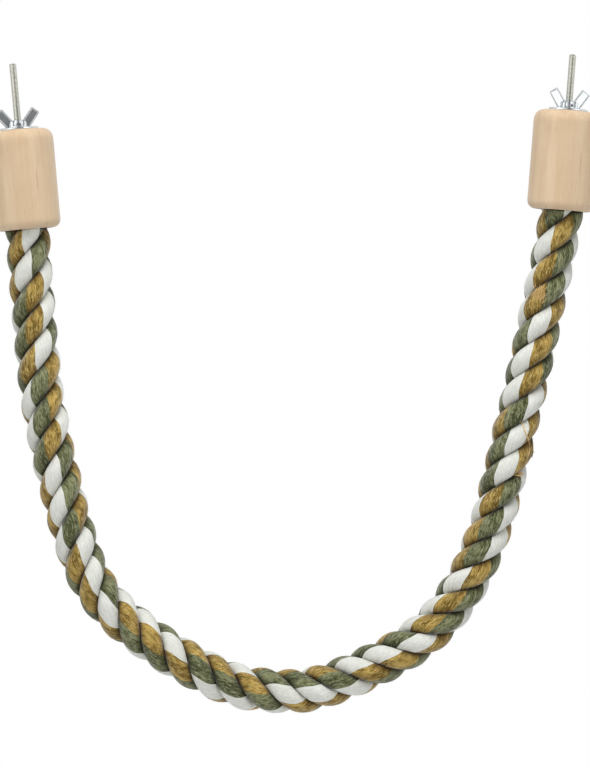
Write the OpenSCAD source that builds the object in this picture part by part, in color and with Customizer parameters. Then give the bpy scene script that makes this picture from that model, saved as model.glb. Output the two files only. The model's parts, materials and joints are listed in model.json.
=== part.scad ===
// Rope perch for a bird cage: a thick three-strand rope hangs in a U between two round wooden end blocks.
// Each block has a threaded stud with a wide washer and a wing nut, which clamp it to the wires of the cage.
// Millimetres. +X runs from the left block to the right one, +Z is up, and the viewer looks along +Y.
// The origin is the centre of the left block's clamping face.

/* [Rope] */
// Diameter round the crests of the rope's strands
rope_d = 24.5; // [20:0.5:27]
// Clearance between the rope and the wall of its socket
socket_gap = 0.3; // [0.2:0.1:0.8]

/* [End blocks] */
// Diameter of each round block
block_d = 37.5; // [34:0.5:50]
// Height of each block, along its stud
block_h = 55; // [50:1:80]
// Depth of the socket that holds the rope's end
socket_depth = 22; // [12:1:24]
// Radius of the edge round the clamping face
face_round = 6; // [2:0.5:8]
// Radius of the edge on the rope's side
rope_side_round = 4.5; // [1:0.5:6]
// Chamfer at the mouth of the socket
mouth_chamfer = 0.6; // [0.2:0.1:1]

/* [Layout] */
// Lean of the left block, with its stud outwards, in degrees
left_lean = 5; // [0:0.5:8]
// Lean of the right block, with its stud outwards, in degrees
right_lean = 4.5; // [0:0.5:8]
// Distance from the left clamping face to the right one, across
face_span = 302.5; // [295:0.5:310]
// Height of the right clamping face above the left one
face_rise = 10.5; // [0:0.5:16]

/* [Studs] */
// Outer diameter of the machine thread
stud_d = 4; // [3:0.5:5]
// Length of the left stud that stands out of its block
left_stud_out = 36.5; // [26:0.5:50]
// Length of the right stud that stands out of its block
right_stud_out = 31; // [26:0.5:50]
// Length of each stud inside its block, with the point
stud_in = 24; // [14:1:25]
// Chamfer at the stud's free end
stud_chamfer = 0.6; // [0.2:0.1:1]
// Radial depth of the thread down to its pitch line
thread_depth = 0.2; // [0.2:0.05:0.3]
// Length of the wood screw's point
point_l = 6; // [3:0.5:8]
// Radial clearance between the stud and its hole in the wood
pilot_gap = 0.05; // [0.05:0.05:0.2]

/* [Washers] */
// Outer diameter of each washer
washer_d = 22; // [16:0.5:28]
// Thickness of each washer
washer_t = 1.2; // [0.8:0.1:2]
// Radial clearance between washer and stud
washer_gap = 0.25; // [0.1:0.05:0.5]
// Chamfer round the washer's edges
washer_chamfer = 0.25; // [0.1:0.05:0.35]

/* [Wing nuts] */
// Diameter of the flange that bears on the washer
flange_d = 9.6; // [8:0.2:12]
// Thickness of that flange
flange_t = 0.9; // [0.6:0.1:1.4]
// Diameter of the threaded core
core_d = 7.2; // [7:0.1:8]
// Height of the core
core_h = 4.2; // [4:0.1:7]
// Diameter of each rolled fold beside the core
fold_d = 3.4; // [2.4:0.1:4]
// Height of the folds above the flange
fold_h = 1.6; // [1.4:0.1:2.6]
// Width of the window between two folds
window_w = 2.8; // [1.6:0.1:3.2]
// Height of the window
window_h = 1.3; // [0.8:0.1:1.6]
// Length of a wing from its root at the core to its tip
wing_l = 11.4; // [9:0.2:13]
// Width of a wing
wing_w = 5.4; // [4:0.1:6]
// Thickness of a wing at its rim
wing_t = 1.5; // [1:0.1:2]
// Lean of the left nut's wings away from the stud, in degrees
left_wing_lean = 38.5; // [30:0.5:42]
// Lean of the right nut's wings: two nuts from the same press differ a little
right_wing_lean = 34.5; // [30:0.5:42]
// Turn of the left nut on its stud at rest, in degrees
left_nut_rest = 8; // [0:1:180]
// Turn of the right nut on its stud at rest
right_nut_rest = 20; // [0:1:180]
// Radius of the wing's corners
wing_corner = 1.1; // [0.6:0.1:1.6]
// Width of the rim round the wing's pressed panel
rim_w = 0.8; // [0.5:0.1:1.2]
// Depth of the pressed panel on each face of the wing
panel_depth = 0.3; // [0.1:0.05:0.4]
// Radial clearance between the nut and the stud
nut_gap = 0.1; // [0.05:0.01:0.2]

/* [Hidden] */
$fn = 96;

// Overrun of every cut past the face that it opens
cut = 0.5;
// Gap between the point of a stud and the bottom of its hole
point_gap = 0.3;
// Share of the wood screw's diameter left at its blunt point
point_share = 0.25;
// Share of the flange's radius at which a wing's centre line starts, and of its thickness above the washer
wing_root_share = 0.7;
wing_lift_share = 0.35;
// Share of the core's radius at which the folds stand, across and front to back
fold_across_share = 0.8;
fold_front_share = 0.48;
// Share of the core's wall that the window goes in
window_share = 0.6;
// Share of a wing's length that the panel starts at
panel_start_share = 0.5;
// Height above the nut's core at which the stud's free end begins
free_end_gap = 0.4;

stud_r = stud_d / 2;
pitch_r = stud_r - thread_depth;
nut_top = washer_t + core_h;
bore_r = stud_r + nut_gap;
core_r = core_d / 2;
socket_r = rope_d / 2 + socket_gap;

// The rope's route between the blocks, from left to right: across, and up. Its ends follow from the sockets.
route = [
    [7.2, -86.7], [9.9, -118.8], [13.5, -149.8], [19.7, -181.2], [27.4, -212.1], [31.9, -227.6],
    [37.6, -242.7], [45.4, -256.3], [56.4, -267.9], [69.1, -278.2], [82.2, -287], [96.1, -295.1],
    [110, -301.8], [125.5, -306.9], [141, -308.4], [157, -308.3], [172.5, -304.2], [186.9, -298.5],
    [201.4, -291.5], [215.3, -283.5], [227.7, -273.5], [238.2, -261.5], [246.9, -248.2], [253.5, -234.2],
    [259.4, -218.7], [267.7, -187.8], [275.1, -156.9], [282.3, -125.8], [288.8, -94.7], [294.2, -69.7]
];
rope_sides = 12;
// Straight stretch of the rope below each block, as a share of its diameter
straight_share = 0.25;

// A point on a block's axis, at height z from its clamping face, in the plane of the hanging rope
function on_axis(face, lean, z) = [face[0] + z * sin(lean), face[1] + z * cos(lean)];
function unit(v) = v / norm(v);

left_face = [0, 0];
right_face = [face_span, face_rise];
socket_floor = socket_depth - block_h;
below_block = -block_h - straight_share * rope_d;

// Places a piece of the left or of the right end assembly, whose own axis is +Z from the clamping face
module at_left() {
    rotate([0, -left_lean, 0]) children();
}

module at_right() {
    translate([face_span, 0, face_rise]) rotate([0, right_lean, 0]) children();
}

// Half section of a turned block, with a round at each end
module block_section() {
    r = block_d / 2;
    translate([0, rope_side_round - block_h]) square([r, block_h - rope_side_round - face_round]);
    translate([0, -block_h]) square([r - rope_side_round, rope_side_round]);
    translate([0, -face_round]) square([r - face_round, face_round]);
    translate([r - face_round, -face_round]) intersection() {
        circle(face_round);
        square(face_round);
    }
    translate([r - rope_side_round, rope_side_round - block_h]) intersection() {
        circle(rope_side_round);
        mirror([0, 1]) square(rope_side_round);
    }
}

module end_block() {
    difference() {
        rotate_extrude() block_section();
        translate([0, 0, -block_h - cut]) cylinder(r = socket_r, h = socket_depth + cut);
        translate([0, 0, -block_h - mouth_chamfer]) {
            cylinder(r1 = socket_r + 2 * mouth_chamfer, r2 = socket_r, h = 2 * mouth_chamfer);
        }
        translate([0, 0, -stud_in - point_gap]) cylinder(r = stud_r + pilot_gap, h = stud_in + point_gap + cut);
    }
}

// A hanger bolt: wood screw and point inside the block, machine thread outside. The stretch that the washer and
// the nut cover is drawn at the thread's pitch line, and the free end at its outer diameter.
module hanger_bolt(out) {
    translate([0, 0, -stud_in]) cylinder(r1 = stud_r * point_share, r2 = stud_r, h = point_l);
    translate([0, 0, point_l - stud_in]) cylinder(r = stud_r, h = stud_in - point_l);
    cylinder(r = pitch_r, h = nut_top + free_end_gap);
    translate([0, 0, nut_top + free_end_gap]) cylinder(r = stud_r, h = out - nut_top - free_end_gap - stud_chamfer);
    translate([0, 0, out - stud_chamfer]) cylinder(r1 = stud_r, r2 = stud_r - stud_chamfer, h = stud_chamfer);
}

module washer() {
    inner = stud_r + washer_gap;
    outer = washer_d / 2;
    c = washer_chamfer;
    rotate_extrude() polygon([
        [inner, 0], [outer - c, 0], [outer, c], [outer, washer_t - c], [outer - c, washer_t], [inner, washer_t]
    ]);
}

// Rectangle with round corners, from the origin along +Y
module round_plate(w, l, r) {
    translate([-w / 2, r]) square([w, l - 2 * r]);
    translate([r - w / 2, 0]) square([w - 2 * r, l]);
    for (x = [r - w / 2, w / 2 - r], y = [r, l - r]) translate([x, y]) circle(r, $fn = 48);
}

// One wing along +X: a plate that leans away from the stud, with a rim round a pressed panel on each face
module wing(lean) {
    root = wing_root_share * flange_d / 2;
    panel_start = panel_start_share * wing_l;
    translate([root, 0, wing_lift_share * flange_t]) rotate([0, lean, 0]) rotate([90, 0, 0]) difference() {
        linear_extrude(wing_t, center = true) round_plate(wing_w, wing_l, wing_corner);
        for (side = [-1, 1]) translate([0, panel_start, side * wing_t / 2]) {
            linear_extrude(2 * panel_depth, center = true) {
                round_plate(wing_w - 2 * rim_w, wing_l - panel_start - rim_w, wing_corner - rim_w / 2);
            }
        }
    }
}

// Fold of the pressed sheet beside the core: an upright roll with a round top
module fold() {
    cylinder(d = fold_d, h = flange_t + fold_h, $fn = 48);
    translate([0, 0, flange_t + fold_h]) sphere(d = fold_d, $fn = 48);
}

module wing_nut(lean) {
    window_in = window_share * (core_r - bore_r);
    window_z = flange_t + fold_h / 2;
    difference() {
        union() {
            cylinder(d = flange_d, h = flange_t);
            cylinder(r = core_r, h = core_h);
            for (x = [-1, 1], y = [-1, 1]) {
                translate([x * fold_across_share * core_r, y * fold_front_share * core_r, 0]) fold();
            }
            wing(lean);
            mirror([1, 0, 0]) wing(lean);
        }
        translate([0, 0, -cut]) cylinder(r = bore_r, h = core_h + 2 * cut);
        for (side = [-1, 1]) translate([0, side * (core_r - window_in + core_r / 2), window_z]) {
            cube([window_w, core_r, window_h], center = true);
        }
        translate([-wing_l, -wing_l, -wing_w]) cube([2 * wing_l, 2 * wing_l, wing_w]);
        translate([0, 0, core_h]) cylinder(r = core_r, h = wing_l);
    }
}

// Ring of the rope round a point of its line, square to a direction in the plane of the route
function ring(p, d, r) = [
    for (k = [0:rope_sides - 1]) let (a = 360 * (k + 0.5) / rope_sides)
    [p[0] - d[1] * r * cos(a), r * sin(a), p[1] + d[0] * r * cos(a)]
];

// The rope's whole line, from the floor of one socket to the floor of the other
rope_line = concat(
    [for (z = [socket_floor, below_block]) on_axis(left_face, -left_lean, z)],
    route,
    [for (z = [below_block, socket_floor]) on_axis(right_face, right_lean, z)]
);
last = len(rope_line) - 1;
rope_dirs = [
    for (i = [0:last])
    i <= 1 ? [sin(left_lean), -cos(left_lean)]
    : i >= last - 1 ? [sin(right_lean), cos(right_lean)]
    : unit(rope_line[i + 1] - rope_line[i - 1])
];

module rope() {
    points = [for (i = [0:last]) each ring(rope_line[i], rope_dirs[i], rope_d / 2)];
    sides = [
        for (i = [0:last - 1], k = [0:rope_sides - 1])
        let (a = i * rope_sides + k, b = i * rope_sides + (k + 1) % rope_sides)
        each [[a, b, b + rope_sides], [a, b + rope_sides, a + rope_sides]]
    ];
    end = last * rope_sides;
    caps = [for (k = [1:rope_sides - 2]) each [[0, k + 1, k], [end, end + k, end + k + 1]]];
    color("tan") polyhedron(points, concat(sides, caps), convexity = 6);
}

module left_block() {
    color("burlywood") at_left() end_block();
}

module right_block() {
    color("burlywood") at_right() end_block();
}

module left_stud() {
    color("silver") at_left() hanger_bolt(left_stud_out);
}

module right_stud() {
    color("silver") at_right() hanger_bolt(right_stud_out);
}

module left_washer() {
    color("gainsboro") at_left() washer();
}

module right_washer() {
    color("gainsboro") at_right() washer();
}

module left_wing_nut() {
    color("lightsteelblue") at_left() translate([0, 0, washer_t]) rotate(left_nut_rest) {
        wing_nut(left_wing_lean);
    }
}

module right_wing_nut() {
    color("lightsteelblue") at_right() translate([0, 0, washer_t]) rotate(right_nut_rest) {
        wing_nut(right_wing_lean);
    }
}

left_block();
right_block();
left_stud();
right_stud();
left_washer();
right_washer();
left_wing_nut();
right_wing_nut();
rope();
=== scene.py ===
"""Looks of the rope perch: a thick three-strand cotton rope between two turned wooden blocks, each with a
threaded stud, a washer and a pressed wing nut. Metres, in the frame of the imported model."""
import json
import math

import bmesh
import bpy
import numpy as np
from mathutils.bvhtree import BVHTree
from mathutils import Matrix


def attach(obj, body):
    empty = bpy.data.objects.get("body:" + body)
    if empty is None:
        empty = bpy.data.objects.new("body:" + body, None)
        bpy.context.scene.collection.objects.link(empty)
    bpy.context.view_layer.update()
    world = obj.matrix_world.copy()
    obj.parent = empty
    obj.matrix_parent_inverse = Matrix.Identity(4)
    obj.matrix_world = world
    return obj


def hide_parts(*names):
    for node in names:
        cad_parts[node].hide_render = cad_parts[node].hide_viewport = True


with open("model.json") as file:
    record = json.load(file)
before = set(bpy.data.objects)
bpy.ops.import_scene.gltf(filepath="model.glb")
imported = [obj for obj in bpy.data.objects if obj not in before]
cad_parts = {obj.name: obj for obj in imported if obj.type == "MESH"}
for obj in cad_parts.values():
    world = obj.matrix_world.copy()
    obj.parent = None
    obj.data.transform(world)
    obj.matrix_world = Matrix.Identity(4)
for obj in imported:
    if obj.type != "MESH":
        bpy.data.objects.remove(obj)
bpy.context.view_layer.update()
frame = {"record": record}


def linear(red, green, blue):
    """A colour from its 0 to 255 display values."""
    shares = (red / 255, green / 255, blue / 255)
    lit = [((share + 0.055) / 1.055) ** 2.4 if share > 0.04045 else share / 12.92 for share in shares]
    return (*lit, 1)


def grey(value):
    """A grey of one value in all three colours."""
    return (value, value, value, 1)


def clamping_face(side):
    """Centre of a block's clamping face, across and up, and the block's lean in degrees, as packed."""
    mount = next(row for row in frame["record"]["mounts"] if row["name"] == side + "_clamp")
    (x, _, z), (lean_x, _, lean_z) = mount["pos_m"], mount["axis"]
    return {"face": (x, z), "lean": round(math.degrees(math.atan2(lean_x, lean_z)), 4)}


TO_VIEWER = (0.0, -1.0, 0.0)
AWAY = (0.0, 1.0, 0.0)

# Driving sizes: the rope, the wooden blocks and the studs
ROPE_D = 0.0245
BLOCK_R = 0.01875
BLOCK_H = 0.055
STUD_R = 0.002
STUD_IN = 0.024

# The two ends: the clamping face, the stud's length out of the block, the wings' lean and the nut's turn at
# rest in degrees, and where the tree's heart lay from the block's axis
ENDS = {
    "left": {
        **clamping_face("left"), "out": 0.0365, "wing_lean": 38.5, "nut_turn": 8, "heart": (0.050, 0.030),
    },
    "right": {
        **clamping_face("right"), "out": 0.031, "wing_lean": 34.5, "nut_turn": 20, "heart": (-0.020, 0.045),
    },
}

# Blocks, with the rope's socket and the stud's pilot hole
FACE_ROUND = 0.006
ROPE_SIDE_ROUND = 0.0045
SOCKET_GAP = 0.0003
SOCKET_R = ROPE_D / 2 + SOCKET_GAP
SOCKET_DEPTH = 0.022
MOUTH_CHAMFER = 0.0006
PILOT_GAP = 0.00005
PILOT_R = STUD_R + PILOT_GAP
POINT_GAP = 0.0003
PILOT_DEPTH = STUD_IN + POINT_GAP
BLOCK_SIDES = 160

# Studs: hanger bolts with a machine thread outside the block, and a wood screw inside it, whose point has a
# tip that is a share of the radius
STUD_CHAMFER = 0.0006
POINT_L = 0.006
POINT_TIP = 0.25
# Threads: a crest over 1 is broader than its valley. The machine thread starts a little inside the block
MACHINE_PITCH = 0.0007
MACHINE_DEPTH = 0.00018
MACHINE_CREST = 1.5
MACHINE_FROM = -0.0015
SCREW_PITCH = 0.0018
SCREW_DEPTH = 0.0006
SCREW_CREST = 0.7
STUD_SIDES = 28
RINGS_PER_PITCH = 10

# Washers
WASHER_R = 0.011
WASHER_GAP = 0.00025
WASHER_BORE = STUD_R + WASHER_GAP
WASHER_T = 0.0012
WASHER_ROUND = 0.0003
WASHER_SIDES = 120

# Wing nuts, in millimetres from the face that bears on the washer. The core and the folds start at FOOT
MM = 0.001
FLANGE_R = 4.8
FLANGE_T = 0.9
FLANGE_TAPER = 0.1
FLANGE_UNDER_ROUND = 0.2
FLANGE_TOP_ROUND = 0.3
FOOT = 0.1
CORE_R = 3.6
CORE_H = 4.2
CORE_FLARE = 0.3
CORE_FOOT_ROUND = 0.3
CORE_TOP_ROUND = 0.5
NUT_GAP = 0.1
NUT_BORE = STUD_R / MM + NUT_GAP
BORE_PAST = 1
# Four folds of sheet roll up beside the core, to its sides and to its front and back
FOLD_R = 1.7
FOLD_H = 4.0
FOLD_FOOT_ROUND = 0.1
FOLD_TOP_ROUND = 1.2
FOLD_ACROSS = 2.88
FOLD_FRONT = 1.73
# A window goes a little way into the core's wall, in front and behind
WINDOW_W = 2.8
WINDOW_H = 1.1
WINDOW_LOW = 1.2
WINDOW_IN = 1.7
WINDOW_CORNER = 0.35
# A wing, and the place of the middle of its lower edge
WING_W = 5.4
WING_L = 11.4
WING_CORNER = 0.8
WING_ROOT = 3.36
WING_LOW = 0.32
# The wing's section, from its edge inwards: distance from the edge, and half thickness
WING_SECTION = [(0.0, 0.40), (0.12, 0.56), (0.3, 0.62), (0.55, 0.60), (0.72, 0.48), (0.9, 0.42), (1.6, 0.42)]
LEAST_ROUND = 0.02
# The painted shade in a window starts an edge inside the core's wall, and is whole a fade deeper
SHADE_EDGE = 0.1
SHADE_FADE = 0.4
# The size of the grains that make the nut one skin, and how much and how often that is smoothed
NUT_GRAIN = 0.13
NUT_SOFTENING = 0.5
NUT_SOFTENED = 3
NUT_SIDES = 96
FOLD_SIDES = 48

# How fine a turned section is: steps in a rounded corner, and cuts in the longest straight stretch. Edges
# that turn more than the sharp angle, in degrees, aren't shaded smooth
ARC_STEPS = 8
SECTION_STEPS = 40
SHARP_ANGLE = 35

# The rope: how far it goes straight out of a block
STRAIGHT = 0.25 * ROPE_D
# The rope's route between the blocks, from left to right: across, and up
ROUTE = [
    (0.0072, -0.0867), (0.0099, -0.1188), (0.0135, -0.1498), (0.0197, -0.1812), (0.0274, -0.2121),
    (0.0319, -0.2276), (0.0376, -0.2427), (0.0454, -0.2563), (0.0564, -0.2679), (0.0691, -0.2782),
    (0.0822, -0.2870), (0.0961, -0.2951), (0.1100, -0.3018), (0.1255, -0.3069), (0.1410, -0.3084),
    (0.1570, -0.3083), (0.1725, -0.3042), (0.1869, -0.2985), (0.2014, -0.2915), (0.2153, -0.2835),
    (0.2277, -0.2735), (0.2382, -0.2615), (0.2469, -0.2482), (0.2535, -0.2342), (0.2594, -0.2187),
    (0.2677, -0.1878), (0.2751, -0.1569), (0.2823, -0.1258), (0.2888, -0.0947), (0.2942, -0.0697),
]
# Points of a smooth line before it is cut in even steps, and the step of the rope's line
FINE_POINTS = 20000
RING_STEP = 0.00109

# Strands: the rope's crest radius, and how a strand's section and its yarns lie
STRANDS = 3
CREST_R = 0.0122
STRAND_CENTRE = 0.45 * CREST_R
STRAND_DEEP = 0.55 * CREST_R
STRAND_WIDE = 0.61 * CREST_R
STRAND_SQUARENESS = 14
LEAST_FACING = 1e-3
# How a strand swells along its way: share of its radius, length for a radian, radians to the next strand
STRAND_SWELLS = [(0.012, 0.0171, 2.1), (0.008, 0.0087, 4.3)]
# Yarns: a ridge and a groove for each, and their turns round the strand in one turn of the strand
COLOURS = 3
YARNS_EACH = 8
COLUMNS = 2 * COLOURS * YARNS_EACH
YARN_RELIEF = 0.00010
YARN_TURNS = 2.26
MUSTARD = 2
# Where the colours start on each strand, in turns
COLOUR_START = (0.38, 0.90, 0.84)
# The way round the visible side of a strand, as wide as all its yarns side by side
STRAND_GIRTH = 0.033
# Part of a strand's yarns that shows, and the part of its section that they cover there, in turns either way
YARNS_OPEN = 0.371
SECTION_OPEN = 0.278
# Lobes before the middle of the rope, from there to a block, and the ease that makes the lay longer there
LOBES_MIDDLE = 19.83
LOBES_HALF = 21.02
LOBES_EASE = -0.50
# How far past a block's mouth the open air starts, in rope widths
MOUTH_CLEAR = 0.02

# Fuzz on the rope's open sides: fibres for each square metre, where open_air is over FUZZ_OPENNESS
FUZZ_DENSITY = 116000.0
FUZZ_OPENNESS = 0.74
FUZZ_LENGTH = 0.0011
FUZZ_RADIUS = 0.00002
FUZZ_POINTS = 5
FUZZ_SIDES = 3
# A fibre's bend, out to its side and up, its lean in radians and its least and greatest size, in shares
FUZZ_BEND = {"Start": (0.0, -0.2), "Start Handle": (0.0, 0.35), "End Handle": (0.3, 0.7), "End": (0.9, 0.45)}
FUZZ_LEAN = 0.5
FUZZ_LEAST = 0.4
FUZZ_GREATEST = 1.5
FUZZ_SEED = 11
FUZZ_TURN_SEED = 3
FUZZ_SIZE_SEED = 5

# Loose mustard yarns on the right leg: radius, open_air, then points across, up and off the strands. A yarn
# is paler where its open_air is over PALE_FROM, by how far that is over 1
PALE_FROM = 1.2
LOOSE_YARNS = [
    (0.00026, 1.75, [
        (0.2762, -0.1602, -0.0006), (0.2770, -0.1625, 0.0002), (0.2785, -0.1660, 0.0005),
        (0.2800, -0.1697, 0.0007), (0.2808, -0.1722, 0.0008), (0.2812, -0.1748, 0.0008),
        (0.2808, -0.1772, 0.0006), (0.2802, -0.1798, -0.0004),
    ]),
    (0.00040, 0.88, [
        (0.2812, -0.1690, -0.0004), (0.2814, -0.1712, 0.0010), (0.2816, -0.1738, 0.0016),
        (0.2816, -0.1764, 0.0014), (0.2813, -0.1788, 0.0010), (0.2809, -0.1812, 0.0002),
    ]),
    (0.00036, 0.95, [
        (0.2822, -0.1694, -0.0004), (0.2824, -0.1716, 0.0008), (0.2827, -0.1742, 0.0014),
        (0.2829, -0.1762, 0.0015), (0.2827, -0.1782, 0.0013), (0.2822, -0.1802, 0.0008),
    ]),
    (0.00022, 1.40, [
        (0.2820, -0.1740, 0.0012), (0.2826, -0.1758, 0.0018), (0.2833, -0.1770, 0.0020),
        (0.2838, -0.1774, 0.0019),
    ]),
    (0.00042, 1.50, [
        (0.2716, -0.1893, -0.0004), (0.2730, -0.1897, 0.0008), (0.2746, -0.1900, 0.0014),
        (0.2762, -0.1901, 0.0016), (0.2769, -0.1893, 0.0018), (0.2764, -0.1884, 0.0018),
        (0.2752, -0.1884, 0.0016), (0.2747, -0.1891, 0.0014), (0.2752, -0.1897, 0.0008),
    ]),
]
# A loose yarn's two plies: the length of their turn, their depth and steps in shares of its radius, and its
# thinner ends. Its place in the mustard third of the yarns keeps a margin on both sides
PLY_TURN = 0.0022
PLY_DEPTH = 0.22
PLY_STEP = 0.8
PLY_SIDES = 10
YARN_END = 0.35
YARN_END_LENGTH = 2
YARN_MARGIN = 0.1
# The frayed place high on the right leg: its middle and half size across and up, and its fibres, with the
# spread of their sizes. The heap is how high they stand off the strands, and the root how deep they start
FRAYED_MIDDLE = (0.2865, -0.0906)
FRAYED_HALF = (0.0030, 0.0044)
FRAYED_FIBRES = 66
FRAYED_LEAN = (0.35, 0.4)
FRAYED_CURL = 0.9
FRAYED_LENGTH = 0.0036
FRAYED_LENGTHS = (0.6, 1.2)
FRAYED_HEAP = 0.0009
FRAYED_HEAPS = (0.2, 1.0)
FRAYED_ROOT = 0.0002
# A fibre's arch past its root: share of its length from its middle, and share of its height
FRAYED_ARCH = [(-0.2, 0.6), (0.15, 1.0), (0.5, 0.5)]
FRAYED_RADIUS = 0.00012
FRAYED_RADII = (0.6, 1.4)
FRAYED_OPEN_AIR = (1.2, 1.85)
FRAYED_SEED = 5

# Green, white and mustard yarns: their colour, their patches, light and dark fibres, specks, painted shade
# deep in a groove, and a loose fibre
COTTON = [linear(74, 78, 47), linear(228, 230, 221), linear(115, 92, 39)]
COTTON_PATCH = [linear(132, 134, 97), linear(232, 234, 227), linear(194, 162, 88)]
COTTON_LIGHT = [linear(155, 159, 125), linear(237, 239, 234), linear(206, 182, 112)]
COTTON_DARK = [linear(58, 63, 34), linear(218, 219, 211), linear(106, 82, 32)]
COTTON_SPECK = [linear(192, 194, 171), linear(245, 246, 244), linear(226, 204, 146)]
COTTON_GROOVE_SHADE = [linear(40, 42, 20), linear(176, 172, 152), linear(74, 52, 18)]
COTTON_LOOSE = [linear(166, 170, 140), linear(239, 240, 233), linear(244, 208, 146)]
# Shade in the grooves between the strands, by open_air, and how much of it each colour takes
GROOVE_SHADE = [(0.62, grey(1)), (0.72, grey(0.77)), (0.82, grey(0.36)), (0.93, grey(0))]
GROOVE_SHARE = [grey(1.0), grey(0.3), grey(1.0)]
# The fine yarns round a strand, how far apart their noises are taken, and their lean to it in radians
FINE_YARNS = 36
FINE_YARN_APART = 0.002
YARN_LEAN = 0.2
# How much a fine yarn's own shade shows, its rise and its fibres' rise, and how strong that relief is
OWN_SHADE = 0.22
YARN_RISE = 0.9
FIBRE_RISE = 0.8
COTTON_RELIEF = 0.75

# Wood: dark and pale bands, streaks, the late wood of a year ring, pale patches and pores
WOOD_BANDS = [(0.32, linear(204, 176, 142)), (0.62, linear(217, 193, 162))]
WOOD_STREAK = linear(206, 176, 142)
WOOD_LATE = linear(200, 166, 128)
WOOD_PATCH = linear(226, 202, 170)
WOOD_PORE = linear(140, 102, 66)
# A year ring's late wood, the rings in a metre, how far they waver, and the slope of their cone
LATE_WOOD = [(0.0, grey(0)), (0.62, grey(0.2)), (0.93, grey(1)), (1.0, grey(0))]
YEAR_RINGS = 240
RING_WAVER = 0.009
RING_TILT = 0.06
# How much the late wood shows, and how far the streaks rise and the pores sink in the relief
LATE_SHARE = 0.16
STREAK_RISE = 0.5
MARK_DEPTH = 0.6

# Plated metals: their shade, the duller and rougher clouds in it, their roughness, and how much the painted
# shade in their grooves and windows shows
METALS = {
    "stud_steel": {
        "shade": linear(238, 238, 228),
        "dull": linear(222, 222, 210),
        "roughness": 0.25,
        "hollow_shade": 0.45,
    },
    "zinc_plate": {
        "shade": linear(228, 232, 234),
        "dull": linear(204, 210, 213),
        "roughness": 0.28,
        "hollow_shade": 0.4,
    },
}
# The colour of the painted shade deep in thread valleys and nut windows
METAL_HOLLOW_SHADE = linear(64, 64, 56)
DULL_ROUGHER = 0.1

# Studio: a floor, and a white room that metal mirrors with a dark upright gap in front and a dark corner
# high on the left, behind. Their places and sizes are parts of a direction, across, up and away
WORLD_LIGHT = 0.36
GAP_MIDDLE = 0.18
GAP_ACROSS = 0.22
GAP_UP = 1.5
GAP_FADE = 2.1
GAP_AWAY = (0.0, 0.6)
CORNER_ACROSS = (-0.1, -0.4)
CORNER_UP = (0.1, 0.3)
CORNER_AWAY = (0.0, 0.3)
CORNER_DARKNESS = 0.6
DARK_SHADE = (0.05, 0.095, 0.13, 1)
FLOOR_R = 3.0
FLOOR_Z = -0.6
FLOOR_SHADE = 0.9
FLOOR_GLOW = 0.6
# Lamps: name, place, watts, width and whether metal mirrors it. All of them aim at one point
LAMPS = [
    ("lamp_above", (0.15, -0.8, 1.5), 29, 1.2, False),
    ("lamp_left", (-1.5, -1.3, 0.5), 6.2, 1.0, True),
    ("lamp_right", (1.75, -1.6, 0.3), 5.5, 1.0, True),
]
LAMP_AIM = (0.15, 0.0, -0.12)

# Camera: straight on, with the height of its picture at the perch, its sensor in millimetres, and how far it
# sees
CAMERA_PLACE = (0.1521, -4.5, -0.1398)
PICTURE_HEIGHT = 0.4224
SENSOR = 36
SIGHT_END = 50


def on_axis(end, z):
    """Point on a block's axis, at height z from its clamping face: across, and up."""
    turn, face = math.radians(end["lean"]), end["face"]
    return face[0] + z * math.sin(turn), face[1] + z * math.cos(turn)


def placed(points, end):
    """Points of a piece drawn round its end's own axis, moved to their place in the perch."""
    turn, face = math.radians(end["lean"]), end["face"]
    x, y, z = np.asarray(points, float).T
    across = face[0] + x * math.cos(turn) + z * math.sin(turn)
    up = face[1] - x * math.sin(turn) + z * math.cos(turn)
    return np.stack([across, y, up], axis=1)


def smooth_line(points, step):
    """Evenly spaced points on the smoothest cubic curve through the given ones, their ways and lengths."""
    knots = np.array(points, float)
    along = np.r_[0, np.cumsum(np.linalg.norm(np.diff(knots, axis=0), axis=1))]
    gap = np.diff(along)
    count = len(knots)
    system, pull = np.eye(count), np.zeros_like(knots)
    for i in range(1, count - 1):
        system[i, i - 1:i + 2] = gap[i - 1], 2 * (gap[i - 1] + gap[i]), gap[i]
        pull[i] = 6 * ((knots[i + 1] - knots[i]) / gap[i] - (knots[i] - knots[i - 1]) / gap[i - 1])
    bend = np.linalg.solve(system, pull)

    def curve(t):
        """Points of the curve at the lengths t along its knots."""
        i = np.clip(np.searchsorted(along, t, side="right") - 1, 0, count - 2)
        h, a, b = gap[i][:, None], (along[i + 1] - t)[:, None], (t - along[i])[:, None]
        return (
            (bend[i] * a**3 + bend[i + 1] * b**3) / (6 * h)
            + (knots[i] / h - bend[i] * h / 6) * a
            + (knots[i + 1] / h - bend[i + 1] * h / 6) * b
        )

    fine = curve(np.linspace(0, along[-1], FINE_POINTS))
    length = np.r_[0, np.cumsum(np.linalg.norm(np.diff(fine, axis=0), axis=1))]
    even = np.linspace(0, length[-1], int(round(length[-1] / step)) + 1)
    line = np.stack([np.interp(even, length, fine[:, k]) for k in range(fine.shape[1])], axis=1)
    way = np.gradient(line, axis=0)
    return line, way / np.linalg.norm(way, axis=1)[:, None], even


def mesh_piece(name, vertices, faces, uvs=None):
    """A smooth-shaded mesh object at the origin. uvs has a pair for each corner of each face."""
    mesh = bpy.data.meshes.new(name)
    mesh.from_pydata([tuple(v) for v in vertices], [], [tuple(f) for f in faces])
    if uvs is not None:
        mesh.uv_layers.new(name="yarns").data.foreach_set("uv", np.asarray(uvs, np.float32).ravel())
    mesh.polygons.foreach_set("use_smooth", [True] * len(mesh.polygons))
    mesh.update()
    piece = bpy.data.objects.new(name, mesh)
    bpy.context.scene.collection.objects.link(piece)
    return piece


def store(mesh, name, values):
    """Keeps one number for each point of a mesh, as a named attribute."""
    mesh.attributes.new(name, "FLOAT", "POINT").data.foreach_set("value", np.asarray(values, np.float32))


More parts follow.
